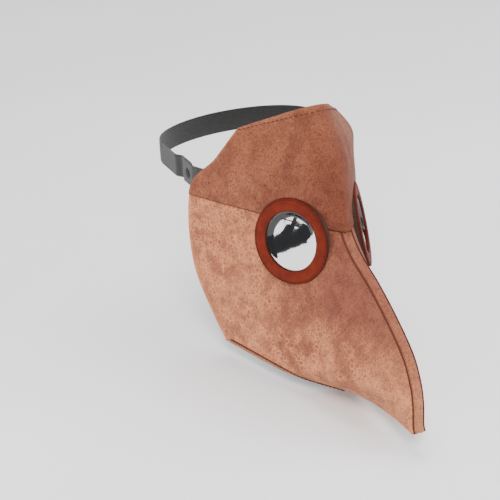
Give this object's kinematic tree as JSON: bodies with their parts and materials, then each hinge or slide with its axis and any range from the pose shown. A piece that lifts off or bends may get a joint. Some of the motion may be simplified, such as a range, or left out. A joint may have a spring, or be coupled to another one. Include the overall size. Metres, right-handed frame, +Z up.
{
  "type": "plague doctor mask",
  "caption": "Long-beaked half mask of foam-backed brown suede with two round dark eye windows and an elastic head strap.",
  "frame": {"origin": "midway between the two eye windows, where the wearer's eyes look out", "axes": "+X is the wearer's left, -Y is forward along the beak, +Z is up the forehead"},
  "size_m": [0.1584, 0.3506, 0.2265],
  "materials": {
    "brown_suede": "matte suede, mottled",
    "rust_suede": "matte suede",
    "stiffening_foam": "matte foam",
    "dark_foam": "matte foam",
    "lining_felt": "matte felt",
    "black_film": "gloss",
    "thread": "matte",
    "black_elastic": "woven",
    "slider_plastic": "satin"
  },
  "bodies": {
    "mask": {"forehead_panel": "brown_suede", "cheek_panel_right": "brown_suede", "cheek_panel_left": "brown_suede", "ridge_strip": "brown_suede", "forehead_foam": "stiffening_foam", "cheek_foam_right": "stiffening_foam", "cheek_foam_left": "stiffening_foam", "ridge_foam": "stiffening_foam", "forehead_lining": "lining_felt", "cheek_lining_right": "lining_felt", "cheek_lining_left": "lining_felt", "ridge_lining": "lining_felt", "jaw_hem_right": "brown_suede", "jaw_hem_left": "brown_suede", "eye_ring_right": "rust_suede", "eye_ring_left": "rust_suede", "eye_ring_base_right": "dark_foam", "eye_ring_base_left": "dark_foam", "eye_window_right": "black_film", "eye_window_left": "black_film", "forehead_stitches": "thread", "strap_tab_right": "black_elastic", "strap_tab_left": "black_elastic", "strap_stitches": "thread", "strap_tack_right": "thread", "strap_tack_left": "thread"},
    "strap": {"elastic_strap": "black_elastic", "strap_tail": "black_elastic"},
    "slider": {"strap_slider": "slider_plastic"}
  },
  "joints": [
    {"name": "strap_swing", "type": "hinge", "parent": "mask", "child": "strap", "pos_m": [0, 0.109, 0.028], "axis": [1, 0, 0], "range_deg": [-30, 50], "stiffness_Nm_per_rad": 0.12},
    {"name": "slider_travel", "type": "slide", "parent": "strap", "child": "slider", "axis": [0, 1, 0], "range_m": [-0.008, 0.008]}
  ]
}
